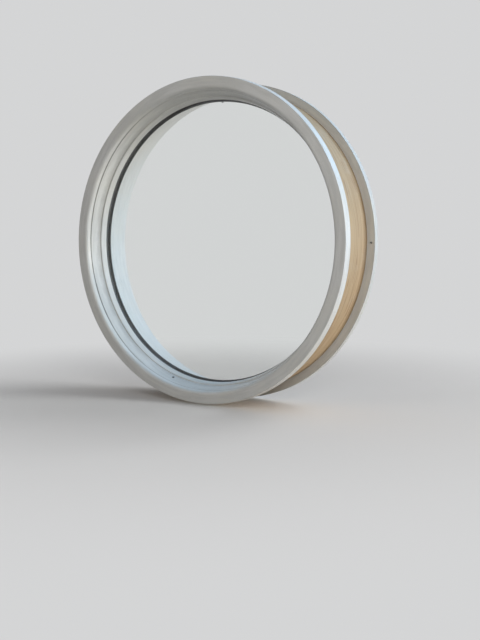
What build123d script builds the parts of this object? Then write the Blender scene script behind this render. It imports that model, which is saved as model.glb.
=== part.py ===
from build123d import *
import os
from math import radians, tan

# Round fixed window for a framed wall. Its axis is Y: the room is on the -Y side, outdoors on the +Y
# side, and +Z is up. The origin is on the axis, where the outdoor trim bears on the wall.

# Depths, in millimetres along Y
wall_depth = 116.0
casing_thickness = 19.0
frame_proud = 5.0
liner_depth = 26.5
bead_depth = 15.0
pane_thickness = 3.0
air_gap = 8.5
tape_thickness = 1.0
trim_thickness = 19.0

# Heights towards the axis, measured from the rebate round the glass
frame_radius = 355.0
frame_wall = 10.0
lip_height = 23.0
liner_room_height = 6.0
liner_bead_height = 14.0
bead_room_height = 16.0
bead_glass_height = 20.5
glass_clearance = 4.0
spacer_height = 13.0
tape_width = 12.0

# Splay of the outdoor reveal, in degrees from the axis
reveal_splay = 16.3

# Room-side casing and outdoor trim
casing_overlap = 15.0
casing_draft = 2.0
casing_round_width = 6.5
casing_round_depth = 4.5
casing_inner_lean = 2.1
casing_gap = 0.4
casing_lap_clearance = 0.5
trim_overlap = 18.0
trim_hole_radius = 2.5
trim_hole_count = 4

# Finish nails, set below the painted face
nail_width = 1.6
nail_thickness = 1.4
nail_set = 2.0
casing_nail_length = 40.0
liner_nail_length = 15.0
trim_nail_length = 40.0
nails_per_ring = 5
open_hole_angle = 253.3
open_hole_width = 2.8
liner_nail_depth = 17.0

# Rubber blocks round the glass
block_side_clearance = 1.0
setting_block_arc = 8.0
setting_block_angles = (250.0, 290.0)
edge_block_arc = 5.0
edge_block_angles = (30.0, 150.0, 210.0, 330.0)

# Tail of glazing tape left standing at its joint
tape_tail_angle = 85.8
tape_tail_length = 5.0
tape_tail_height = 2.0

# Places along Y
casing_front = -wall_depth - casing_thickness
frame_room_end = -wall_depth - frame_proud
liner_back = frame_room_end + liner_depth
inner_pane_front = liner_back + bead_depth
inner_pane_back = inner_pane_front + pane_thickness
outer_pane_front = inner_pane_back + air_gap
outer_pane_back = outer_pane_front + pane_thickness
lip_face = outer_pane_back + tape_thickness

# Radii
rebate_radius = frame_radius - frame_wall
lip_radius = rebate_radius - lip_height
glass_radius = rebate_radius - glass_clearance
spacer_radius = glass_radius - spacer_height
liner_room_radius = rebate_radius - liner_room_height
liner_bead_radius = rebate_radius - liner_bead_height
bead_room_radius = rebate_radius - bead_room_height
bead_glass_radius = rebate_radius - bead_glass_height
casing_radius = frame_radius + casing_overlap
casing_inner = liner_room_radius + casing_gap
trim_radius = frame_radius + trim_overlap
trim_hole_circle = frame_radius + trim_overlap / 2
casing_nail_circle = frame_radius - frame_wall / 2

# Nails of the rings stand between one another
nail_pitch = 360.0 / nails_per_ring
casing_nail_angle = open_hole_angle + nail_pitch / 2
trim_nail_angle = open_hole_angle + nail_pitch / 2


def reveal_radius(y):
    """Radius of the splayed outdoor reveal at a place along Y."""
    return lip_radius + (y - lip_face) * tan(radians(reveal_splay))


def section(*corners):
    """Flat section through the corners (radius, y)."""
    return make_face(Polyline(*corners, close=True))


def turned(*corners):
    """Ring turned about the window's axis from the corners of its section."""
    return revolve(section(*corners), Axis.Y)


def turned_to(angle, shape):
    """Shape carried round the axis, from +X towards +Z."""
    return Rot(0, -angle, 0) * shape


def all_round(shape, count, first_angle):
    """Copies of a shape, evenly spaced round the axis."""
    return [turned_to(first_angle + i * 360.0 / count, shape) for i in range(count)]


def stock(length):
    """Bar of nail stock from the origin along +X, with its width along Z."""
    return Box(length, nail_thickness, nail_width, align=(Align.MIN, Align.CENTER, Align.CENTER))


def nail(length):
    """Finish nail with its head set below the painted face at the origin."""
    return Pos(nail_set, 0, 0) * stock(length)


def radial(shape, radius, y):
    """Shape driven outwards from a surface at this radius."""
    return Pos(radius, y, 0) * shape


def outdoors(shape, radius, y):
    """Shape driven along +Y from the face at y."""
    return Pos(radius, y, 0) * Rot(0, 0, 90) * shape


def roomwards(shape, radius, y):
    """Shape driven along -Y from the face at y."""
    return Pos(radius, y, 0) * Rot(0, 0, -90) * shape


def ring_of_nails(placed, first_angle):
    """Nails of one ring."""
    return all_round(placed, nails_per_ring, first_angle)


def block(arc, angle):
    """Rubber block between the glass edge and the rebate, centred on an angle."""
    low = inner_pane_front + block_side_clearance
    high = outer_pane_back - block_side_clearance
    cut = section((glass_radius, low), (rebate_radius, low), (rebate_radius, high), (glass_radius, high))
    return turned_to(angle - arc / 2, revolve(cut, -Axis.Y, revolution_arc=arc))


def surface_radius(y, start, end):
    """Radius at y on a taper between two (radius, y) points."""
    return start[0] + (end[0] - start[0]) * (y - start[1]) / (end[1] - start[1])


def casing_blank():
    """Room-side casing: flat face, eased inner edge, rabbeted over the frame's end."""
    lap_radius = frame_radius + casing_lap_clearance
    eased_radius = casing_inner + casing_inner_lean
    return turned(
        (eased_radius + casing_round_width, casing_front),
        (casing_radius - casing_draft, casing_front),
        (casing_radius, -wall_depth),
        (lap_radius, -wall_depth),
        (lap_radius, frame_room_end),
        (casing_inner, frame_room_end),
        (eased_radius, casing_front + casing_round_depth),
    )


def frame_blank():
    """Main ring: rebate for the glass, fixed stop and splayed reveal."""
    return turned(
        (frame_radius, frame_room_end),
        (frame_radius, 0),
        (reveal_radius(0), 0),
        (lip_radius, lip_face),
        (rebate_radius, lip_face),
        (rebate_radius, frame_room_end),
    )


def liner_blank():
    """Tapered ring that lines the frame from its room end to the bead."""
    return turned(
        (rebate_radius, frame_room_end),
        (liner_room_radius, frame_room_end),
        (liner_bead_radius, liner_back),
        (rebate_radius, liner_back),
    )


def bead_blank():
    """Bead between the liner and the glass, pressing the glass against the fixed stop."""
    return turned(
        (rebate_radius, liner_back),
        (bead_room_radius, liner_back),
        (bead_glass_radius, inner_pane_front),
        (rebate_radius, inner_pane_front),
    )


def trim_blank():
    """Outdoor trim with holes for the installer's screws, carrying on the splayed reveal."""
    ring = turned(
        (reveal_radius(0), 0),
        (trim_radius, 0),
        (trim_radius, trim_thickness),
        (reveal_radius(trim_thickness), trim_thickness),
    )
    drill = Pos(trim_hole_circle, trim_thickness / 2, 0) * Rot(90, 0, 0) * Cylinder(
        trim_hole_radius, 2 * trim_thickness
    )
    return ring - all_round(drill, trim_hole_count, 0)


def pane(front):
    """Round pane with its room side at a place along Y."""
    return Pos(0, front, 0) * Rot(-90, 0, 0) * Cylinder(
        glass_radius, pane_thickness, align=(Align.CENTER, Align.CENTER, Align.MIN)
    )


def flat_ring(inner, outer, low, high):
    """Plain ring of rectangular section."""
    return turned((inner, low), (outer, low), (outer, high), (inner, high))


def glazing_tape():
    """Tape between the stop and the glass, with a short tail at its joint."""
    tape = flat_ring(lip_radius, lip_radius + tape_width, outer_pane_back, lip_face)
    tail = Pos(lip_radius - tape_tail_height, outer_pane_back, 0) * Box(
        tape_width, tape_thickness, tape_tail_length, align=(Align.MIN, Align.MIN, Align.CENTER)
    )
    return tape + turned_to(tape_tail_angle, tail)


def write(node, shapes):
    """Write one sub-part."""
    solids = [solid for shape in shapes for solid in shape.solids()]
    export_step(Compound(children=solids), f"parts/{node}.step")


liner_nail_y = frame_room_end + liner_nail_depth
liner_nail_radius = surface_radius(
    liner_nail_y, (liner_room_radius, frame_room_end), (liner_bead_radius, liner_back)
)
trim_nail_circle = (reveal_radius(0) + frame_radius) / 2

casing_nails = ring_of_nails(
    outdoors(nail(casing_nail_length), casing_nail_circle, casing_front), casing_nail_angle
)
liner_nails = ring_of_nails(
    radial(nail(liner_nail_length), liner_nail_radius, liner_nail_y), open_hole_angle
)
trim_nails = ring_of_nails(
    roomwards(nail(trim_nail_length), trim_nail_circle, trim_thickness), trim_nail_angle
)
open_hole = turned_to(
    open_hole_angle,
    Pos(liner_nail_radius, liner_nail_y, 0) * Box(2 * nail_set, open_hole_width, open_hole_width),
)

os.makedirs("parts", exist_ok=True)
write("interior_casing", [casing_blank() - casing_nails])
write("casing_nails", casing_nails)
write("frame_ring", [frame_blank() - casing_nails - liner_nails - trim_nails])
write("liner_ring", [liner_blank() - liner_nails - open_hole])
write("liner_nails", liner_nails)
write("glazing_bead", [bead_blank()])
write("inner_pane", [pane(inner_pane_front)])
write("outer_pane", [pane(outer_pane_front)])
write("spacer_strip", [flat_ring(spacer_radius, glass_radius, inner_pane_back, outer_pane_front)])
write("glazing_tape", [glazing_tape()])
write("setting_blocks", [block(setting_block_arc, angle) for angle in setting_block_angles])
write("edge_blocks", [block(edge_block_arc, angle) for angle in edge_block_angles])
write("outdoor_trim", [trim_blank() - trim_nails])
write("trim_nails", trim_nails)
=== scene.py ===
from collections import namedtuple
from math import cos, hypot, pi, radians, sin, tan

import bmesh
import bpy
from mathutils import Matrix, Vector


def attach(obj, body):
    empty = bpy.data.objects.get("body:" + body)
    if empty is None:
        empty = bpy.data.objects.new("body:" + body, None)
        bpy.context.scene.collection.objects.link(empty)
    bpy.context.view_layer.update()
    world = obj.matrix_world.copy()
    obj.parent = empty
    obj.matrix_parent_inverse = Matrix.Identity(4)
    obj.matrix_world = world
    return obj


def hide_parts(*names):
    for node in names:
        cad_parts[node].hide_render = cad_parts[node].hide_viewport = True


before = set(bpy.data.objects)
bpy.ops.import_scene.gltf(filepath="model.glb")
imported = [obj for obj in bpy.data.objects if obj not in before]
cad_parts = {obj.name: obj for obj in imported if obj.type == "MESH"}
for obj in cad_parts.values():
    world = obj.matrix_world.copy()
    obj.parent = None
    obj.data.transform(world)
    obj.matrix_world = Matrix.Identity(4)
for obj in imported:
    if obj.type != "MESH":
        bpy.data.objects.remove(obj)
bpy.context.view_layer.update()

BODY = "root"

# Depths in metres. The window's axis is Y, the room is on the -Y side, +Z is up.
CASING_FRONT = -0.135
WALL_ROOM_SIDE = -0.116
FRAME_ROOM_END = -0.121
LINER_BACK = -0.0945
GLASS_FRONT = -0.0795
SPACER_FRONT = -0.0765
SPACER_BACK = -0.068
LIP_FACE = -0.064
TRIM_FRONT = 0.019

# Radii, and the splay of the outdoor reveal
CASING_RADIUS = 0.370
CASING_FRONT_RADIUS = 0.368
CASING_INNER = 0.3394
CASING_LEAN = 0.0021
LAP_RADIUS = 0.3555
FRAME_RADIUS = 0.355
REBATE_RADIUS = 0.345
LINER_ROOM_RADIUS = 0.339
LINER_BEAD_RADIUS = 0.331
BEAD_ROOM_RADIUS = 0.329
BEAD_GLASS_RADIUS = 0.3245
LIP_RADIUS = 0.322
GLASS_RADIUS = 0.341
SPACER_RADIUS = 0.328
TRIM_RADIUS = 0.373
REVEAL_SPLAY = radians(16.3)

# Screw holes in the outdoor trim
SCREW_CIRCLE = 0.364
SCREW_HOLE = 0.0025
SCREW_COUNT = 4
DRILL_DEPTH = 0.08
DRILL_SIDES = 40

# Nails of each ring, and the one nail hole in the liner that was left open
NAIL_COUNT = 5
OPEN_HOLE_ANGLE = radians(253.3)
OPEN_HOLE_WIDTH = 0.0028
OPEN_HOLE_DEPTH = 0.002
OPEN_HOLE_PLACE = -0.104
OPEN_HOLE_REACH = 0.0045
OPEN_HOLE_LIP = 0.0004
LARGEST_HOLE_FACE = 0.00004
CASING_NAIL_CIRCLE = 0.350
TRIM_NAIL_CIRCLE = 0.3479

# How finely the rings are turned and rounded
STEPS_ROUND = 288
CORNER_STEPS = 6
SHARP_SUPPORT = 0.0003
LONGEST_SUPPORT = 0.0008
SUPPORT_SHARE = 0.35
LONGEST_ARC_SHARE = 0.45
SAME_POINT = 0.000002
FACE_MARGIN = 0.0005
SHARP_EDGE = radians(32)

FLOAT = "NodeSocketFloat"
INTEGER = "NodeSocketInt"
VECTOR = "NodeSocketVector"
GEOMETRY = "NodeSocketGeometry"
MATERIAL = "NodeSocketMaterial"


def reveal_radius(y):
    """Radius of the splayed outdoor reveal at a place along Y."""
    return LIP_RADIUS + (y - LIP_FACE) * tan(REVEAL_SPLAY)


# Helpers for node trees


def feed(tree, socket, value):
    """Input fed by another socket, or set to a plain value."""
    if isinstance(value, bpy.types.NodeSocket):
        tree.links.new(value, socket)
    else:
        socket.default_value = value


def fed_node(tree, kind, values):
    """New node with its first inputs fed in order."""
    node = tree.nodes.new(kind)
    for socket, value in zip(node.inputs, values):
        feed(tree, socket, value)
    return node


def math(tree, operation, *values):
    """Math node fed by sockets or plain numbers."""
    node = fed_node(tree, "ShaderNodeMath", values)
    node.operation = operation
    return node.outputs[0]


def vector_math(tree, operation, *values):
    """Vector math node fed by sockets or plain vectors."""
    node = fed_node(tree, "ShaderNodeVectorMath", values)
    node.operation = operation
    return node.outputs["Value" if operation == "LENGTH" else "Vector"]


def join(tree, x, y, z):
    """Vector from three sockets or numbers."""
    return fed_node(tree, "ShaderNodeCombineXYZ", (x, y, z)).outputs[0]


def weighted(tree, *parts):
    """Sum of sockets, each times its own weight."""
    shares = [math(tree, "MULTIPLY", socket, weight) for socket, weight in parts]
    total = shares[0]
    for share in shares[1:]:
        total = math(tree, "ADD", total, share)
    return total


def length(tree, *parts):
    """Length of the vector with these parts."""
    return math(tree, "SQRT", weighted(tree, *[(part, part) for part in parts]))


def smooth(tree, value, start, end, low=0.0, high=1.0):
    """Value carried smoothly from low to high between start and end."""
    node = tree.nodes.new("ShaderNodeMapRange")
    node.interpolation_type = "SMOOTHSTEP"
    for name, number in (("From Min", start), ("From Max", end), ("To Min", low), ("To Max", high)):
        node.inputs[name].default_value = number
    tree.links.new(value, node.inputs["Value"])
    return node.outputs["Result"]


def mixed(tree, factor, first, second):
    """Colour mixed from two sockets or colours."""
    node = tree.nodes.new("ShaderNodeMix")
    node.data_type = "RGBA"
    for name, value in (("Factor_Float", factor), ("A_Color", first), ("B_Color", second)):
        feed(tree, next(s for s in node.inputs if s.identifier == name), value)
    return next(s for s in node.outputs if s.identifier == "Result_Color")


def grain(tree, vector, scale, detail, roughness, w=None, distortion=0.0):
    """Noise value on a vector, in four dimensions where w is given."""
    node = tree.nodes.new("ShaderNodeTexNoise")
    node.noise_dimensions = "3D" if w is None else "4D"
    if w is not None:
        tree.links.new(w, node.inputs["W"])
    tree.links.new(vector, node.inputs["Vector"])
    node.inputs["Scale"].default_value = scale
    node.inputs["Detail"].default_value = detail
    node.inputs["Roughness"].default_value = roughness
    node.inputs["Distortion"].default_value = distortion
    return node.outputs["Fac"]


def new_tree(kind, name, inputs, outputs):
    """Node tree with named sockets, and its input and output nodes."""
    tree = bpy.data.node_groups.new(name, kind)
    for title, socket_kind, value in inputs:
        socket = tree.interface.new_socket(title, in_out="INPUT", socket_type=socket_kind)
        if value is not None:
            socket.default_value = value
    for title, socket_kind in outputs:
        tree.interface.new_socket(title, in_out="OUTPUT", socket_type=socket_kind)
    return tree, tree.nodes.new("NodeGroupInput"), tree.nodes.new("NodeGroupOutput")


def place(tree, group, **values):
    """Group node placed in a material, with its own values or links."""
    node = tree.nodes.new("ShaderNodeGroup")
    node.node_tree = group
    for name, value in values.items():
        feed(tree, node.inputs[name.replace("_", " ")], value)
    return node


def show_mix(tree, factor, first, second):
    """Mix of two shaders as the surface that a material or a world shows."""
    mix = fed_node(tree, "ShaderNodeMixShader", (factor, first, second))
    output = next(node for node in tree.nodes if node.type in ("OUTPUT_MATERIAL", "OUTPUT_WORLD"))
    tree.links.new(mix.outputs[0], output.inputs["Surface"])


# Shader groups

# Scales and amounts of the brush marks: how wide laps are against bristle marks, and how high each stands
LAP_WIDTH = 0.13
BRISTLE_HEIGHT = 0.5
WAVE_HEIGHT = 1.1
PEEL_HEIGHT = 0.35
LAP_HEIGHT = 3.2

# How ragged the rim of a filled nail spot is
RAGGED_RIM = 0.0016

# Scales of the wood figure
FIGURE_ALONG = 0.75
FIGURE_ACROSS = 40.0
FIGURE_LAYERS = 30.0
FIGURE_RINGS = 9.0
FIBRE_SCALE = (14.0, 14.0, 22.0)


def make_round_place():
    """Where a point lies on a turned ring: its direction round the axis, radius, depth and angle."""
    tree, start, end = new_tree(
        "ShaderNodeTree",
        "round_place",
        [("Vector", VECTOR, None)],
        [("Round", VECTOR), ("Radius", FLOAT), ("Depth", FLOAT), ("Angle", FLOAT)],
    )
    split = tree.nodes.new("ShaderNodeSeparateXYZ")
    tree.links.new(start.outputs["Vector"], split.inputs[0])
    x, y, z = split.outputs
    radius = length(tree, x, z)
    round_vector = join(tree, math(tree, "DIVIDE", x, radius), math(tree, "DIVIDE", z, radius), 0.0)
    tree.links.new(round_vector, end.inputs["Round"])
    tree.links.new(radius, end.inputs["Radius"])
    tree.links.new(y, end.inputs["Depth"])
    tree.links.new(math(tree, "ARCTAN2", z, x), end.inputs["Angle"])
    return tree


ROUND_PLACE = make_round_place()


def make_brush_marks():
    """Marks of a brush drawn round the ring: height, slow tone, streaks where it is thin, and gloss."""
    tree, start, end = new_tree(
        "ShaderNodeTree",
        "brush_marks",
        [("Vector", VECTOR, None), ("Bristle", FLOAT, 900.0), ("Stroke", FLOAT, 5.0)],
        [("Height", FLOAT), ("Tone", FLOAT), ("Streak", FLOAT), ("Gloss", FLOAT)],
    )
    point = start.outputs["Vector"]
    where = place(tree, ROUND_PLACE, Vector=point)
    across_r = math(tree, "MULTIPLY", where.outputs["Radius"], start.outputs["Bristle"])
    across_y = math(tree, "MULTIPLY", where.outputs["Depth"], start.outputs["Bristle"])
    along = vector_math(tree, "MULTIPLY", where.outputs["Round"], start.outputs["Stroke"])
    drawn = vector_math(tree, "ADD", along, join(tree, 0.0, 0.0, across_r))
    bristles = grain(tree, drawn, 1.0, 3.0, 0.55, across_y)
    broad = vector_math(tree, "MULTIPLY", drawn, (1.0, 1.0, LAP_WIDTH))
    laps = grain(tree, broad, 1.0, 2.0, 0.55, math(tree, "MULTIPLY", across_y, LAP_WIDTH))
    wave = grain(tree, point, 9.0, 2.0, 0.5)
    peel = grain(tree, point, 260.0, 2.0, 0.5)
    height = weighted(
        tree, (bristles, BRISTLE_HEIGHT), (wave, WAVE_HEIGHT), (peel, PEEL_HEIGHT), (laps, LAP_HEIGHT)
    )
    gloss = weighted(tree, (bristles, 0.5), (peel, 0.5))
    tree.links.new(height, end.inputs["Height"])
    tree.links.new(smooth(tree, wave, 0.35, 0.68), end.inputs["Tone"])
    tree.links.new(smooth(tree, laps, 0.36, 0.64), end.inputs["Streak"])
    tree.links.new(smooth(tree, gloss, 0.3, 0.7), end.inputs["Gloss"])
    return tree


BRUSH_MARKS = make_brush_marks()


def make_joint_shade():
    """Grey line of dust, thin paint and painted shade along a joint, fainter at top and bottom if filled.
    """
    tree, start, end = new_tree(
        "ShaderNodeTree",
        "joint_shade",
        [
            ("Vector", VECTOR, None),
            ("Radius", FLOAT, 0.3),
            ("Depth", FLOAT, 0.0),
            ("Width", FLOAT, 0.002),
            ("Filled", FLOAT, 0.0),
        ],
        [("Mask", FLOAT)],
    )
    where = place(tree, ROUND_PLACE, Vector=start.outputs["Vector"])
    out = math(tree, "SUBTRACT", where.outputs["Radius"], start.outputs["Radius"])
    back = math(tree, "SUBTRACT", where.outputs["Depth"], start.outputs["Depth"])
    away = length(tree, out, back)
    uneven = grain(tree, start.outputs["Vector"], 38.0, 3.0, 0.6)
    widening = math(tree, "ADD", 0.45, math(tree, "MULTIPLY", uneven, 1.1))
    width = math(tree, "MULTIPLY", start.outputs["Width"], widening)
    mask = math(tree, "SUBTRACT", 1.0, smooth(tree, math(tree, "DIVIDE", away, width), 0.0, 1.0))
    stretch = grain(tree, where.outputs["Round"], 1.7, 2.0, 0.5)
    upright = math(tree, "ABSOLUTE", math(tree, "SINE", where.outputs["Angle"]))
    caulked = smooth(tree, math(tree, "ADD", upright, math(tree, "MULTIPLY", stretch, 0.5)), 0.75, 1.25)
    kept = math(tree, "SUBTRACT", 1.0, math(tree, "MULTIPLY", caulked, start.outputs["Filled"]))
    tree.links.new(math(tree, "MULTIPLY", mask, kept), end.inputs["Mask"])
    return tree


JOINT_SHADE = make_joint_shade()


def make_nail_marks():
    """Mask of round spots with a ragged rim, evenly spaced on a ring, where its nails are."""
    tree, start, end = new_tree(
        "ShaderNodeTree",
        "nail_marks",
        [
            ("Vector", VECTOR, None),
            ("Count", FLOAT, float(NAIL_COUNT)),
            ("First Angle", FLOAT, 0.0),
            ("Radius", FLOAT, 0.34),
            ("Depth", FLOAT, 0.0),
            ("Spot", FLOAT, 0.003),
        ],
        [("Mask", FLOAT)],
    )
    where = place(tree, ROUND_PLACE, Vector=start.outputs["Vector"])
    turn = math(tree, "SUBTRACT", where.outputs["Angle"], start.outputs["First Angle"])
    share = math(tree, "MULTIPLY", turn, math(tree, "DIVIDE", start.outputs["Count"], 2.0 * pi))
    offset = math(tree, "SUBTRACT", share, math(tree, "ROUND", share))
    arc = math(tree, "MULTIPLY", offset, math(tree, "DIVIDE", 2.0 * pi, start.outputs["Count"]))
    along = math(tree, "MULTIPLY", arc, where.outputs["Radius"])
    out = math(tree, "SUBTRACT", where.outputs["Radius"], start.outputs["Radius"])
    back = math(tree, "SUBTRACT", where.outputs["Depth"], start.outputs["Depth"])
    ragged = grain(tree, start.outputs["Vector"], 300.0, 2.0, 0.5)
    near = math(tree, "ADD", length(tree, out, back, along), math(tree, "MULTIPLY", ragged, RAGGED_RIM))
    share_of_spot = math(tree, "DIVIDE", near, start.outputs["Spot"])
    mask = math(tree, "SUBTRACT", 1.0, smooth(tree, share_of_spot, 0.55, 1.25))
    tree.links.new(mask, end.inputs["Mask"])
    return tree


NAIL_MARKS = make_nail_marks()


def make_wood_figure():
    """Figure of bent boards that runs round the ring, with early and late wood."""
    tree, start, end = new_tree(
        "ShaderNodeTree",
        "wood_figure",
        [("Vector", VECTOR, None)],
        [("Figure", FLOAT), ("Fibre", FLOAT), ("Board", FLOAT)],
    )
    where = place(tree, ROUND_PLACE, Vector=start.outputs["Vector"])
    across = math(tree, "MULTIPLY", where.outputs["Depth"], FIGURE_ACROSS)
    layer = math(tree, "MULTIPLY", where.outputs["Radius"], FIGURE_LAYERS)
    along = vector_math(tree, "MULTIPLY", where.outputs["Round"], (FIGURE_ALONG,) * 3)
    drawn = vector_math(tree, "ADD", along, join(tree, 0.0, 0.0, across))
    bands = grain(tree, drawn, 1.0, 2.0, 0.5, layer, distortion=0.3)
    rings = math(tree, "FRACT", math(tree, "MULTIPLY", bands, FIGURE_RINGS))
    fibre = grain(tree, vector_math(tree, "MULTIPLY", drawn, FIBRE_SCALE), 1.0, 3.0, 0.6, layer)
    board = grain(tree, drawn, 0.4, 1.0, 0.5, layer)
    tree.links.new(smooth(tree, rings, 0.55, 1.0), end.inputs["Figure"])
    tree.links.new(fibre, end.inputs["Fibre"])
    tree.links.new(smooth(tree, board, 0.35, 0.65), end.inputs["Board"])
    return tree


WOOD_FIGURE = make_wood_figure()


# Materials

ROOM_WHITE = (0.80, 0.80, 0.785, 1.0)
# The same white paint, painted darker as shade on the reveal and trim, which the outdoor lamp lights more
# fully than the liner
OUTDOOR_SHADED_WHITE = (0.72, 0.72, 0.70, 1.0)
# Colour of dirt and of painted shade along joints
JOINT_DIRT_AND_SHADE = (0.20, 0.19, 0.17, 1.0)
NAIL_FILLER = (0.62, 0.60, 0.55, 1.0)
# Painted shade round the open nail hole
HOLE_RIM_SHADE = (0.030, 0.025, 0.021, 1.0)

# How a tone of paint is changed where it has aged and where it is thin
AGED = (0.975, 0.965, 0.93)
THIN = (0.88, 0.88, 0.87)
THIN_SHARE = 0.85
FILLER_SHARE = 0.16
FILLER_SUNK = 0.8
RIM_SPOT = 0.0042

EARLY_WOOD = (0.50, 0.355, 0.205, 1.0)
LATE_WOOD = (0.33, 0.195, 0.095, 1.0)
DARKER_BOARD = (0.42, 0.29, 0.17, 1.0)
WOOD_DUST = (0.55, 0.47, 0.36, 1.0)

# Line of dirt and painted shade along a joint: where it runs, how wide and strong it is, and how much of
# it caulk fills
Joint = namedtuple("Joint", "radius depth width strength filled", defaults=(0.0,))

# Nails of one ring: the angle of the first, the circle they stand on and its place along Y
Nails = namedtuple("Nails", "first_angle radius depth")


def new_material(name, color, roughness, **more):
    """Material with a Principled shader, its object coordinates and its constants set on the shader."""
    material = bpy.data.materials.new(name)
    material.use_nodes = True
    tree = material.node_tree
    tree.nodes.clear()
    shader = tree.nodes.new("ShaderNodeBsdfPrincipled")
    shader.inputs["Base Color"].default_value = color
    shader.inputs["Roughness"].default_value = roughness
    for title, value in more.items():
        shader.inputs[title.replace("_", " ")].default_value = value
    output = tree.nodes.new("ShaderNodeOutputMaterial")
    tree.links.new(shader.outputs[0], output.inputs["Surface"])
    material.diffuse_color = color
    coordinates = tree.nodes.new("ShaderNodeTexCoord").outputs["Object"]
    return material, tree, shader, coordinates


def bump(tree, shader, height, distance, strength):
    """Bump from a height to the shader's normal."""
    node = tree.nodes.new("ShaderNodeBump")
    node.inputs["Strength"].default_value = strength
    node.inputs["Distance"].default_value = distance
    tree.links.new(height, node.inputs["Height"])
    tree.links.new(node.outputs["Normal"], shader.inputs["Normal"])


def scaled(color, factors):
    """Colour with its three parts scaled."""
    return tuple(part * factor for part, factor in zip(color, factors)) + (1.0,)


def nail_mask(tree, where, nails, **more):
    """Mask of the spots where nails are."""
    spots = place(
        tree,
        NAIL_MARKS,
        Vector=where,
        First_Angle=nails.first_angle,
        Radius=nails.radius,
        Depth=nails.depth,
        **more,
    )
    return spots.outputs["Mask"]


def gloss_paint(name, joints, nails=None, tone=ROOM_WHITE, hole=None):
    """White gloss paint on wood: brush marks, slow tone, dirt and painted shade along joints, filled
    nails, painted shade round a hole.
    """
    material, tree, shader, where = new_material(name, tone, 0.3, Specular_IOR_Level=0.5)
    marks = place(tree, BRUSH_MARKS, Vector=where)
    color = mixed(tree, marks.outputs["Tone"], tone, scaled(tone, AGED))
    streaks = math(tree, "MULTIPLY", marks.outputs["Streak"], THIN_SHARE)
    color = mixed(tree, streaks, color, scaled(tone, THIN))
    height = marks.outputs["Height"]
    # Each joint line is dust and thin paint, and painted shade where the joint's step or groove lies in
    # shadow
    for joint in joints:
        shade = place(
            tree,
            JOINT_SHADE,
            Vector=where,
            Radius=joint.radius,
            Depth=joint.depth,
            Width=joint.width,
            Filled=joint.filled,
        )
        amount = math(tree, "MULTIPLY", shade.outputs["Mask"], joint.strength)
        color = mixed(tree, amount, color, JOINT_DIRT_AND_SHADE)
    if nails:
        filled = nail_mask(tree, where, nails)
        color = mixed(tree, math(tree, "MULTIPLY", filled, FILLER_SHARE), color, NAIL_FILLER)
        height = math(tree, "SUBTRACT", height, math(tree, "MULTIPLY", filled, FILLER_SUNK))
    # Painted shade round the open nail hole, to darken it as its shadow does
    if hole:
        rim = nail_mask(tree, where, hole, Count=1.0, Spot=RIM_SPOT)
        color = mixed(tree, rim, color, HOLE_RIM_SHADE)
    tree.links.new(color, shader.inputs["Base Color"])
    rough = smooth(tree, marks.outputs["Gloss"], 0.0, 1.0, 0.26, 0.44)
    tree.links.new(rough, shader.inputs["Roughness"])
    bump(tree, shader, height, 0.0004, 0.55)
    return material


def bare_wood():
    """Bare bent boards, on the side that the wall hides."""
    material, tree, shader, where = new_material("bare_wood", (0.47, 0.33, 0.19, 1.0), 0.62)
    figure = place(tree, WOOD_FIGURE, Vector=where)
    late = math(tree, "MULTIPLY", figure.outputs["Figure"], 0.75)
    color = mixed(tree, late, EARLY_WOOD, LATE_WOOD)
    board = math(tree, "MULTIPLY", figure.outputs["Board"], 0.35)
    color = mixed(tree, board, color, DARKER_BOARD)
    dust = smooth(tree, grain(tree, where, 14.0, 5.0, 0.62), 0.50, 0.74)
    color = mixed(tree, math(tree, "MULTIPLY", dust, 0.3), color, WOOD_DUST)
    tree.links.new(color, shader.inputs["Base Color"])
    rough = smooth(tree, figure.outputs["Fibre"], 0.3, 0.7, 0.52, 0.72)
    tree.links.new(rough, shader.inputs["Roughness"])
    height = weighted(tree, (figure.outputs["Fibre"], 1.0), (figure.outputs["Figure"], -0.5))
    bump(tree, shader, height, 0.0005, 0.6)
    return material


def hole_wood():
    """Torn wood inside the open nail hole, painted near black as the hole's shade."""
    material, tree, shader, where = new_material("hole_wood", (0.030, 0.022, 0.016, 1.0), 0.85)
    torn = grain(tree, where, 1500.0, 3.0, 0.6)
    color = mixed(tree, torn, (0.016, 0.012, 0.010, 1.0), (0.055, 0.040, 0.028, 1.0))
    tree.links.new(color, shader.inputs["Base Color"])
    bump(tree, shader, torn, 0.0003, 0.8)
    return material


def clear_glass():
    """Float glass that lets the lamps through, with a faint film of dust."""
    material, tree, shader, where = new_material(
        "clear_glass", (0.984, 0.992, 0.987, 1.0), 0.0, IOR=1.5, Transmission_Weight=1.0
    )
    film = smooth(tree, grain(tree, where, 5.0, 6.0, 0.7), 0.45, 0.8, 0.0, 0.025)
    tree.links.new(film, shader.inputs["Roughness"])
    clear = tree.nodes.new("ShaderNodeBsdfTransparent")
    clear.inputs["Color"].default_value = (0.990, 0.994, 0.991, 1.0)
    path = tree.nodes.new("ShaderNodeLightPath")
    show_mix(tree, path.outputs["Is Shadow Ray"], shader.outputs[0], clear.outputs[0])
    return material


def dark_strip(name, color, roughness, pore, depth):
    """Black rubber, foam or tape with fine pores and a dusty bloom."""
    material, tree, shader, where = new_material(name, color, roughness)
    pores = grain(tree, where, pore, 3.0, 0.6)
    bloom = smooth(tree, grain(tree, where, 24.0, 3.0, 0.6), 0.4, 0.75)
    pale = tuple(part * 2.1 + 0.01 for part in color[:3]) + (1.0,)
    color = mixed(tree, math(tree, "MULTIPLY", bloom, 0.5), color, pale)
    tree.links.new(color, shader.inputs["Base Color"])
    rough = smooth(tree, pores, 0.3, 0.7, roughness - 0.1, roughness + 0.08)
    tree.links.new(rough, shader.inputs["Roughness"])
    bump(tree, shader, pores, depth, 0.7)
    return material


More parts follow.
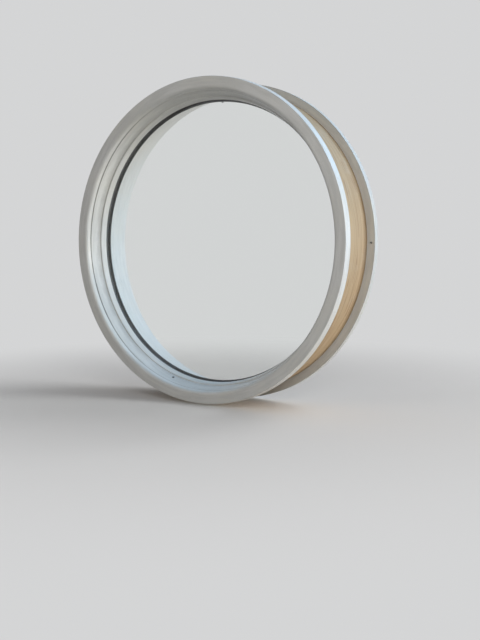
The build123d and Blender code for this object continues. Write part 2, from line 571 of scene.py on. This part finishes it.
def nail_wire():
    """Drawn steel wire with a dull coating and fine scratches."""
    material, tree, shader, where = new_material("nail_wire", (0.42, 0.42, 0.43, 1.0), 0.42, Metallic=1.0)
    scratches = grain(tree, where, 1400.0, 2.0, 0.5)
    dull = smooth(tree, grain(tree, where, 90.0, 3.0, 0.6), 0.35, 0.7)
    color = mixed(tree, dull, (0.46, 0.46, 0.47, 1.0), (0.27, 0.25, 0.23, 1.0))
    tree.links.new(color, shader.inputs["Base Color"])
    tree.links.new(smooth(tree, scratches, 0.3, 0.7, 0.32, 0.52), shader.inputs["Roughness"])
    bump(tree, shader, scratches, 0.0001, 0.5)
    return material


# Nails of the casing and the trim stand between those of the liner
hole_share = (OPEN_HOLE_PLACE - FRAME_ROOM_END) / (LINER_BACK - FRAME_ROOM_END)
LINER_NAIL_RADIUS = LINER_ROOM_RADIUS + (LINER_BEAD_RADIUS - LINER_ROOM_RADIUS) * hole_share
LINER_NAILS = Nails(OPEN_HOLE_ANGLE, LINER_NAIL_RADIUS, OPEN_HOLE_PLACE)
between = OPEN_HOLE_ANGLE + pi / NAIL_COUNT
CASING_NAILS = Nails(between, CASING_NAIL_CIRCLE, CASING_FRONT)
TRIM_NAILS = Nails(between, TRIM_NAIL_CIRCLE, TRIM_FRONT)

WALL_JOINT = Joint(CASING_RADIUS, WALL_ROOM_SIDE, 0.0022, 0.5)
ROOM_JOINT = Joint(CASING_INNER - 0.0002, FRAME_ROOM_END, 0.0026, 0.92, 0.85)
# Painted shade: the bead's step shades the liner beside it from the outdoor light
LINER_END_SHADE = Joint(LINER_BEAD_RADIUS, LINER_BACK, 0.0160, 0.46, 0.75)
# Dust and painted shade on the bead's step, which faces away from the outdoor light
BEAD_JOINT = Joint(LINER_BEAD_RADIUS - 0.0006, LINER_BACK, 0.0040, 0.32, 0.75)
GLASS_JOINT = Joint(BEAD_GLASS_RADIUS, GLASS_FRONT, 0.0020, 0.5)
LIP_JOINT = Joint(LIP_RADIUS, LIP_FACE, 0.0022, 0.5)
TRIM_JOINT = Joint(TRIM_RADIUS, 0.0, 0.0020, 0.45)

CASING_PAINT = gloss_paint("casing_paint", [ROOM_JOINT, WALL_JOINT], CASING_NAILS)
LINER_PAINT = gloss_paint("liner_paint", [ROOM_JOINT, LINER_END_SHADE], LINER_NAILS, hole=LINER_NAILS)
BEAD_PAINT = gloss_paint("bead_paint", [BEAD_JOINT, GLASS_JOINT])
FRAME_PAINT = gloss_paint("frame_paint", [LIP_JOINT], tone=OUTDOOR_SHADED_WHITE)
TRIM_PAINT = gloss_paint("trim_paint", [TRIM_JOINT], TRIM_NAILS, OUTDOOR_SHADED_WHITE)
BARE_WOOD = bare_wood()
HOLE_SHADE_WOOD = hole_wood()
CLEAR_GLASS = clear_glass()
SPACER_BLACK = dark_strip("spacer_black", (0.036, 0.036, 0.038, 1.0), 0.55, 900.0, 0.0003)
TAPE_BLACK = dark_strip("tape_black", (0.042, 0.040, 0.038, 1.0), 0.7, 1300.0, 0.0003)
BLOCK_RUBBER = dark_strip("block_rubber", (0.045, 0.045, 0.045, 1.0), 0.6, 500.0, 0.0002)
NAIL_WIRE = nail_wire()


# Turned rings


def rounded(corners):
    """Closed section from corners (radius, y, rounding), with arcs and support points beside them."""
    points = []
    for number, (radius, y, rounding) in enumerate(corners):
        here = Vector((radius, y))
        before = Vector(corners[number - 1][:2]) - here
        after = Vector(corners[(number + 1) % len(corners)][:2]) - here
        if rounding <= 0.0:
            edge = min(SHARP_SUPPORT, before.length / 4, after.length / 4)
            points += [here + before.normalized() * edge, here, here + after.normalized() * edge]
            continue
        angle = before.angle(after)
        longest = (before.length * LONGEST_ARC_SHARE, after.length * LONGEST_ARC_SHARE)
        reach = min(rounding / tan(angle / 2), *longest)
        size = reach * tan(angle / 2)
        centre = here + (before.normalized() + after.normalized()).normalized() * (size / sin(angle / 2))
        first = here + before.normalized() * reach
        last = here + after.normalized() * reach
        support = min(SUPPORT_SHARE * reach, LONGEST_SUPPORT)
        points.append(first + before.normalized() * support)
        for step in range(CORNER_STEPS + 1):
            share = step / CORNER_STEPS
            spoke = (first - centre).normalized().slerp((last - centre).normalized(), share)
            points.append(centre + spoke * size)
        points.append(last + after.normalized() * support)
    return [(p.x, p.y) for p in points]


def finish(tree, start, end, geometry):
    """Last nodes of a tree: real geometry with its finish."""
    realize = tree.nodes.new("GeometryNodeRealizeInstances")
    tree.links.new(geometry, realize.inputs[0])
    material = tree.nodes.new("GeometryNodeSetMaterial")
    tree.links.new(realize.outputs[0], material.inputs["Geometry"])
    tree.links.new(start.outputs["Finish"], material.inputs["Material"])
    tree.links.new(material.outputs[0], end.inputs[0])


def make_turning():
    """Section points carried round the Y axis in even steps, as one closed skin."""
    tree, start, end = new_tree(
        "GeometryNodeTree",
        "turned_ring",
        [("Section", GEOMETRY, None), ("Steps Round", INTEGER, STEPS_ROUND), ("Finish", MATERIAL, None)],
        [("Ring", GEOMETRY)],
    )
    size = tree.nodes.new("GeometryNodeAttributeDomainSize")
    tree.links.new(start.outputs["Section"], size.inputs[0])
    across = math(tree, "ADD", size.outputs["Point Count"], 1.0)
    along = math(tree, "ADD", start.outputs["Steps Round"], 1.0)
    grid = tree.nodes.new("GeometryNodeMeshGrid")
    tree.links.new(along, grid.inputs["Vertices X"])
    tree.links.new(across, grid.inputs["Vertices Y"])

    # Part steps are added before whole numbers are divided, so that rounding can't lose one
    index = tree.nodes.new("GeometryNodeInputIndex").outputs[0]
    step = math(tree, "FLOOR", math(tree, "DIVIDE", math(tree, "ADD", index, 0.5), across))
    point = math(tree, "SUBTRACT", index, math(tree, "MULTIPLY", step, across))
    wrapped = math(tree, "FLOORED_MODULO", math(tree, "ADD", point, 0.25), size.outputs["Point Count"])

    position = tree.nodes.new("GeometryNodeInputPosition").outputs[0]
    sample = tree.nodes.new("GeometryNodeSampleIndex")
    sample.data_type = "FLOAT_VECTOR"
    tree.links.new(start.outputs["Section"], sample.inputs["Geometry"])
    value = next(s for s in sample.inputs if s.name == "Value" and s.type == "VECTOR")
    tree.links.new(position, value)
    tree.links.new(math(tree, "FLOOR", wrapped), sample.inputs["Index"])
    split = tree.nodes.new("ShaderNodeSeparateXYZ")
    sampled = next(s for s in sample.outputs if s.type == "VECTOR")
    tree.links.new(sampled, split.inputs[0])
    share = math(tree, "DIVIDE", step, start.outputs["Steps Round"])
    turn = math(tree, "MULTIPLY", share, 2.0 * pi)
    x = math(tree, "MULTIPLY", split.outputs[0], math(tree, "COSINE", turn))
    z = math(tree, "MULTIPLY", split.outputs[0], math(tree, "SINE", turn))
    move = tree.nodes.new("GeometryNodeSetPosition")
    tree.links.new(grid.outputs["Mesh"], move.inputs["Geometry"])
    tree.links.new(join(tree, x, split.outputs[1], z), move.inputs["Position"])
    merge = tree.nodes.new("GeometryNodeMergeByDistance")
    tree.links.new(move.outputs[0], merge.inputs["Geometry"])
    merge.inputs["Distance"].default_value = SAME_POINT
    finish(tree, start, end, merge.outputs[0])
    return tree


def make_drill():
    """Drills set evenly on a circle round the Y axis."""
    tree, start, end = new_tree(
        "GeometryNodeTree",
        "drill_circle",
        [
            ("Section", GEOMETRY, None),
            ("Count", INTEGER, SCREW_COUNT),
            ("Circle", FLOAT, SCREW_CIRCLE),
            ("Hole", FLOAT, SCREW_HOLE),
            ("Depth", FLOAT, DRILL_DEPTH),
            ("Finish", MATERIAL, None),
        ],
        [("Ring", GEOMETRY)],
    )
    points = tree.nodes.new("GeometryNodeMeshLine")
    tree.links.new(start.outputs["Count"], points.inputs["Count"])
    index = tree.nodes.new("GeometryNodeInputIndex").outputs[0]
    turn = math(tree, "MULTIPLY", math(tree, "DIVIDE", index, start.outputs["Count"]), 2.0 * pi)
    x = math(tree, "MULTIPLY", math(tree, "COSINE", turn), start.outputs["Circle"])
    z = math(tree, "MULTIPLY", math(tree, "SINE", turn), start.outputs["Circle"])
    move = tree.nodes.new("GeometryNodeSetPosition")
    tree.links.new(points.outputs["Mesh"], move.inputs["Geometry"])
    tree.links.new(join(tree, x, 0.0, z), move.inputs["Position"])
    drill = tree.nodes.new("GeometryNodeMeshCylinder")
    drill.inputs["Vertices"].default_value = DRILL_SIDES
    tree.links.new(start.outputs["Hole"], drill.inputs["Radius"])
    tree.links.new(start.outputs["Depth"], drill.inputs["Depth"])
    copies = tree.nodes.new("GeometryNodeInstanceOnPoints")
    tree.links.new(move.outputs[0], copies.inputs["Points"])
    tree.links.new(drill.outputs["Mesh"], copies.inputs["Instance"])
    copies.inputs["Rotation"].default_value = (pi / 2, 0.0, 0.0)
    finish(tree, start, end, copies.outputs[0])
    return tree


TURNING = make_turning()
DRILLING = make_drill()


def in_scene(name, data):
    """New object in the scene, with its mesh, lamp or camera."""
    holder = bpy.data.objects.new(name, data)
    bpy.context.scene.collection.objects.link(holder)
    return holder


def from_bmesh(name, work):
    """New object from a bmesh, which is then freed."""
    mesh = bpy.data.meshes.new(name)
    work.to_mesh(mesh)
    work.free()
    return in_scene(name, mesh)


def evaluated_mesh(holder, name):
    """New mesh of an object as its modifiers leave it."""
    evaluated = holder.evaluated_get(bpy.context.evaluated_depsgraph_get())
    mesh = bpy.data.meshes.new_from_object(evaluated)
    mesh.name = name
    return mesh


def grown(name, points, tree, **values):
    """Plain mesh object that a Geometry Nodes tree grows from section points."""
    section = bpy.data.meshes.new(name + "_section")
    section.from_pydata([(radius, y, 0.0) for radius, y in points], [], [])
    holder = in_scene(name + "_section", section)
    modifier = holder.modifiers.new("grow", "NODES")
    modifier.node_group = tree
    for item in tree.interface.items_tree:
        title = item.name.replace(" ", "_")
        if item.in_out == "INPUT" and title in values:
            modifier[item.identifier] = values[title]
    mesh = evaluated_mesh(holder, name)
    bpy.data.objects.remove(holder)
    bpy.data.meshes.remove(section)
    return in_scene(name, mesh)


def face_out(piece):
    """Outward faces, smooth apart from sharp corners."""
    work = bmesh.new()
    work.from_mesh(piece.data)
    bmesh.ops.remove_doubles(work, verts=work.verts, dist=SAME_POINT)
    bmesh.ops.recalc_face_normals(work, faces=work.faces)
    if work.calc_volume(signed=True) < 0:
        bmesh.ops.reverse_faces(work, faces=work.faces)
    for edge in work.edges:
        edge.smooth = edge.is_manifold and edge.calc_face_angle(0.0) < SHARP_EDGE
    for face in work.faces:
        face.smooth = True
    work.to_mesh(piece.data)
    work.free()
    piece.data.update()


def cut(piece, cutter):
    """Cutter taken out of a piece, and then removed."""
    modifier = piece.modifiers.new("cut", "BOOLEAN")
    modifier.operation = "DIFFERENCE"
    modifier.solver = "EXACT"
    modifier.object = cutter
    mesh = evaluated_mesh(piece, piece.name)
    piece.modifiers.remove(modifier)
    old = piece.data
    piece.data = mesh
    bpy.data.meshes.remove(old)
    bpy.data.objects.remove(cutter)


def turned(name, corners, material):
    """Ring turned from a rounded section."""
    piece = grown(name, rounded(corners), TURNING, Steps_Round=STEPS_ROUND, Finish=material)
    face_out(piece)
    return piece


def second_finish(piece, material, chosen):
    """Another finish on the faces that a test of their polygon chooses."""
    piece.data.materials.append(material)
    number = len(piece.data.materials) - 1
    for polygon in piece.data.polygons:
        if chosen(polygon):
            polygon.material_index = number


def from_axis(polygon):
    """Distance of a face's centre from the window's axis."""
    return hypot(polygon.center.x, polygon.center.z)


def stand_for(piece, nodes):
    """Ring that rides on the window and stands for its plain solid."""
    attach(piece, BODY)
    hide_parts(*nodes)


casing = turned(
    "casing_turned",
    [
        (CASING_INNER + CASING_LEAN, CASING_FRONT, 0.0090),
        (CASING_FRONT_RADIUS, CASING_FRONT, 0.0014),
        (CASING_RADIUS, WALL_ROOM_SIDE, 0.0004),
        (LAP_RADIUS, WALL_ROOM_SIDE, 0.0),
        (LAP_RADIUS, FRAME_ROOM_END, 0.0),
        (CASING_INNER, FRAME_ROOM_END, 0.0004),
    ],
    CASING_PAINT,
)
stand_for(casing, ["interior_casing"])

liner = turned(
    "liner_turned",
    [
        (REBATE_RADIUS, FRAME_ROOM_END, 0.0),
        (LINER_ROOM_RADIUS, FRAME_ROOM_END, 0.0004),
        (LINER_BEAD_RADIUS, LINER_BACK, 0.0005),
        (REBATE_RADIUS, LINER_BACK, 0.0),
    ],
    LINER_PAINT,
)
HOLE_PLACE = Vector((cos(OPEN_HOLE_ANGLE), 0.0, sin(OPEN_HOLE_ANGLE))) * LINER_NAIL_RADIUS
HOLE_PLACE.y = OPEN_HOLE_PLACE


def hole_drill():
    """Square drill for the open nail hole, driven outwards from the liner's face."""
    work = bmesh.new()
    bmesh.ops.create_cube(work, size=1.0)
    turn = Matrix.Rotation(-OPEN_HOLE_ANGLE, 4, "Y")
    move = Matrix.Translation((LINER_NAIL_RADIUS, OPEN_HOLE_PLACE, 0.0))
    size = Matrix.Diagonal((2 * OPEN_HOLE_DEPTH, OPEN_HOLE_WIDTH, OPEN_HOLE_WIDTH, 1.0))
    bmesh.ops.transform(work, matrix=turn @ move @ size, verts=work.verts)
    return from_bmesh("open_hole", work)


def inside_hole(polygon):
    """Face of the open nail hole, below the liner's painted face."""
    deeper = from_axis(polygon) > LINER_NAIL_RADIUS + OPEN_HOLE_LIP
    near = (polygon.center - HOLE_PLACE).length < OPEN_HOLE_REACH
    return deeper and near and polygon.area < LARGEST_HOLE_FACE


cut(liner, hole_drill())
face_out(liner)
second_finish(liner, HOLE_SHADE_WOOD, inside_hole)
stand_for(liner, ["liner_ring"])

bead = turned(
    "bead_turned",
    [
        (REBATE_RADIUS, LINER_BACK, 0.0),
        (BEAD_ROOM_RADIUS, LINER_BACK, 0.0022),
        (BEAD_GLASS_RADIUS, GLASS_FRONT, 0.0006),
        (REBATE_RADIUS, GLASS_FRONT, 0.0),
    ],
    BEAD_PAINT,
)
stand_for(bead, ["glazing_bead"])

frame_ring = turned(
    "frame_turned",
    [
        (FRAME_RADIUS, FRAME_ROOM_END, 0.0006),
        (FRAME_RADIUS, 0.0, 0.0),
        (reveal_radius(0.0), 0.0, 0.0),
        (LIP_RADIUS, LIP_FACE, 0.0006),
        (REBATE_RADIUS, LIP_FACE, 0.0),
        (REBATE_RADIUS, FRAME_ROOM_END, 0.0),
    ],
    FRAME_PAINT,
)


def unpainted(polygon):
    """Face of the frame's outside, its room end or its rebate."""
    return from_axis(polygon) > REBATE_RADIUS - FACE_MARGIN and polygon.center.y < -FACE_MARGIN


second_finish(frame_ring, BARE_WOOD, unpainted)
stand_for(frame_ring, ["frame_ring"])

trim = turned(
    "trim_turned",
    [
        (reveal_radius(0.0), 0.0, 0.0),
        (TRIM_RADIUS, 0.0, 0.0006),
        (TRIM_RADIUS, TRIM_FRONT, 0.0022),
        (reveal_radius(TRIM_FRONT), TRIM_FRONT, 0.0016),
    ],
    TRIM_PAINT,
)
drills = grown(
    "screw_drills",
    [(0.0, 0.0)],
    DRILLING,
    Count=SCREW_COUNT,
    Circle=SCREW_CIRCLE,
    Hole=SCREW_HOLE,
    Depth=DRILL_DEPTH,
    Finish=TRIM_PAINT,
)
face_out(drills)
cut(trim, drills)
face_out(trim)
stand_for(trim, ["outdoor_trim"])

spacer = turned(
    "spacer_turned",
    [
        (SPACER_RADIUS, SPACER_FRONT, 0.0004),
        (GLASS_RADIUS, SPACER_FRONT, 0.0),
        (GLASS_RADIUS, SPACER_BACK, 0.0),
        (SPACER_RADIUS, SPACER_BACK, 0.0004),
    ],
    SPACER_BLACK,
)
stand_for(spacer, ["spacer_strip"])

# Solids that are shown as they are
FINISHES = {
    "inner_pane": CLEAR_GLASS,
    "outer_pane": CLEAR_GLASS,
    "glazing_tape": TAPE_BLACK,
    "setting_blocks": BLOCK_RUBBER,
    "edge_blocks": BLOCK_RUBBER,
    "casing_nails": NAIL_WIRE,
    "liner_nails": NAIL_WIRE,
    "trim_nails": NAIL_WIRE,
}
for node, material in FINISHES.items():
    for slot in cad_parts[node].material_slots:
        slot.material = material


# Floor, light and camera

FLOOR_GAP = 0.0004
FLOOR_HEIGHT = -TRIM_RADIUS - FLOOR_GAP
FLOOR_RADIUS = 30.0
FLOOR_SIDES = 96
FLOOR_SEEN = (0.95, 0.95, 0.955, 1.0)
FLOOR_BOUNCE = (0.40, 0.39, 0.37, 1.0)
FADE_START = 0.35
FADE_END = 1.35
BACKGROUND = (0.66, 0.665, 0.67, 1.0)
SOFT_LIGHT = (0.97, 0.98, 1.0, 1.0)
SOFT_STRENGTH = 0.135

WINDOW_MIDDLE = (0.0, -0.05, 0.0)
SKY_PLACE = (4.3, 3.8, 5.8)
SKY_SIZE = 4.8
DAYLIGHT = (0.985, 0.985, 0.968)
SKY_BLUE = (0.22, 0.59, 1.0)
GROUND_GLOW = (1.0, 0.97, 0.88)
ROOM_LIGHT = (1.0, 0.985, 0.96)

CAMERA_PLACE = (1.0659, -1.6125, -0.0122)
CAMERA_AIM = (-0.53929, 0.83738, -0.08924)


def seen_ray(tree):
    """One for rays of the camera, of gloss and through glass, which show the background."""
    path = tree.nodes.new("ShaderNodeLightPath")
    plain_or_gloss = math(tree, "MAXIMUM", path.outputs["Is Camera Ray"], path.outputs["Is Glossy Ray"])
    return math(tree, "MAXIMUM", plain_or_gloss, path.outputs["Is Transmission Ray"])


def make_floor():
    """Wide pale floor that fades into the background, and throws less light back than it shows."""
    work = bmesh.new()
    bmesh.ops.create_circle(work, cap_ends=True, radius=FLOOR_RADIUS, segments=FLOOR_SIDES)
    bmesh.ops.translate(work, vec=(0.0, 0.0, FLOOR_HEIGHT), verts=work.verts)
    floor = from_bmesh("floor", work)
    material, tree, shader, where = new_material("floor_paper", FLOOR_SEEN, 0.9)
    seen = seen_ray(tree)
    paper = mixed(tree, seen, FLOOR_BOUNCE, FLOOR_SEEN)
    tree.links.new(paper, shader.inputs["Base Color"])
    far = smooth(tree, vector_math(tree, "LENGTH", where), FADE_START, FADE_END)
    glow = tree.nodes.new("ShaderNodeEmission")
    glow.inputs["Color"].default_value = BACKGROUND
    show_mix(tree, math(tree, "MULTIPLY", far, seen), shader.outputs[0], glow.outputs[0])
    floor.data.materials.append(material)
    return floor


FLOOR = make_floor()


def make_world():
    """Even soft light, with a pale background for the camera, for gloss and through glass."""
    world = bpy.data.worlds.new("studio")
    bpy.context.scene.world = world
    world.use_nodes = True
    tree = world.node_tree
    tree.nodes.clear()
    tree.nodes.new("ShaderNodeOutputWorld")
    soft = fed_node(tree, "ShaderNodeBackground", (SOFT_LIGHT, SOFT_STRENGTH))
    seen = fed_node(tree, "ShaderNodeBackground", (BACKGROUND, 1.0))
    show_mix(tree, seen_ray(tree), soft.outputs[0], seen.outputs[0])


make_world()


def light_group(name, objects, state):
    """Collection that a lamp's light or shadow is kept to (INCLUDE) or kept off (EXCLUDE)."""
    group = bpy.data.collections.new(name)
    for item in objects:
        group.objects.link(item)
    for member in group.collection_objects:
        member.light_linking.link_state = state
    return group


PANES = [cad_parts["inner_pane"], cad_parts["outer_pane"]]
OFF_PANES = light_group("off_panes", PANES, "EXCLUDE")
OFF_FLOOR = light_group("off_floor", [FLOOR], "EXCLUDE")
OFF_PANES_AND_FLOOR = light_group("off_panes_and_floor", PANES + [FLOOR], "EXCLUDE")
FLOOR_ONLY = light_group("floor_only", [FLOOR], "INCLUDE")


def lamp(name, location, target, size, power, color, lights=OFF_PANES):
    """Soft square lamp that points at a target, and is neither seen nor mirrored in the glass."""
    light = bpy.data.lights.new(name, "AREA")
    light.shape = "SQUARE"
    light.size = size
    light.energy = power
    light.color = color
    holder = in_scene(name, light)
    holder.location = location
    holder.rotation_euler = (Vector(target) - Vector(location)).to_track_quat("-Z", "Y").to_euler()
    holder.visible_camera = False
    holder.visible_transmission = False
    holder.light_linking.receiver_collection = lights
    return holder


# The sky's blue light leaves out the floor, which has a neutral lamp at the same place. The ground's
# light comes from below the floor, which doesn't shade it.
lamp("outdoor_right", (9.0, 4.75, 0.0), WINDOW_MIDDLE, 5.4, 945.0, DAYLIGHT)
lamp("outdoor_sky", SKY_PLACE, WINDOW_MIDDLE, SKY_SIZE, 375.0, SKY_BLUE, OFF_PANES_AND_FLOOR)
lamp("floor_sky", SKY_PLACE, WINDOW_MIDDLE, SKY_SIZE, 205.0, (1.0, 1.0, 1.0), FLOOR_ONLY)
ground = lamp("outdoor_ground", (5.7, 3.7, -4.2), WINDOW_MIDDLE, 4.0, 110.0, GROUND_GLOW)
ground.light_linking.blocker_collection = OFF_FLOOR
lamp("room_right", (1.7, -1.8, 0.75), (0.1, -0.1, 0.0), 1.0, 15.5, ROOM_LIGHT)
lamp("room_left", (-0.9, -2.4, 0.7), (0.0, -0.1, 0.0), 0.7, 3.5, ROOM_LIGHT)

scene = bpy.context.scene
scene.view_settings.view_transform = "Standard"

camera_data = bpy.data.cameras.new("photo_view")
camera_data.lens = 45.0
camera_data.sensor_width = 36.0
camera = in_scene("photo_view", camera_data)
forward = Vector(CAMERA_AIM).normalized()
right = forward.cross(Vector((0.0, 0.0, 1.0))).normalized()
up = right.cross(forward)
camera.matrix_world = Matrix.Translation(CAMERA_PLACE) @ Matrix(
    ((right.x, up.x, -forward.x), (right.y, up.y, -forward.y), (right.z, up.z, -forward.z))
).to_4x4()
scene.camera = camera
